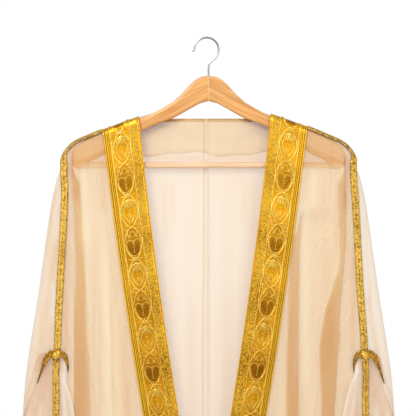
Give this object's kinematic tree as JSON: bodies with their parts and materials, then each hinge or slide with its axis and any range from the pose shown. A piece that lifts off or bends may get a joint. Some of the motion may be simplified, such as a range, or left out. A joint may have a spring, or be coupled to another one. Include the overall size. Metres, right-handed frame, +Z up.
{
  "type": "bisht cloak on a wooden hanger",
  "caption": "Sheer cream bisht cloak with gold zari bands and braids, hanging open on a flat wooden hanger with a wire hook.",
  "frame": {"origin": "the inner top of the hook, where a rail carries the hanger", "axes": "+Z up along the hook's stem, +X to the viewer's right, -Y towards the viewer in front of the open cloak"},
  "size_m": [0.7012, 0.0668, 1.5532],
  "materials": {
    "sheer_voile": "sheer plain weave with a soft sheen",
    "gold_brocade": "zari gold thread, ogee medallions and scrolls",
    "gold_braid": "plaited gold cord",
    "light_wood": "clear satin lacquer",
    "polished_steel": "polished wire"
  },
  "bodies": {
    "root": {"front_left": "sheer_voile", "front_right": "sheer_voile", "back_left": "sheer_voile", "back_right": "sheer_voile", "side_gore_left": "sheer_voile", "side_gore_right": "sheer_voile", "back_neck_facing": "sheer_voile", "back_neck_band": "gold_brocade", "front_band_left": "gold_brocade", "front_band_right": "gold_brocade", "shoulder_braid_left": "gold_braid", "shoulder_braid_right": "gold_braid", "gore_braid_left": "gold_braid", "gore_braid_right": "gold_braid", "hand_slit_trim_left": "gold_braid", "hand_slit_trim_right": "gold_braid", "hanger_arm_left": "light_wood", "hanger_arm_right": "light_wood", "hanger_bar": "light_wood", "hanger_hook": "polished_steel"}
  },
  "joints": []
}
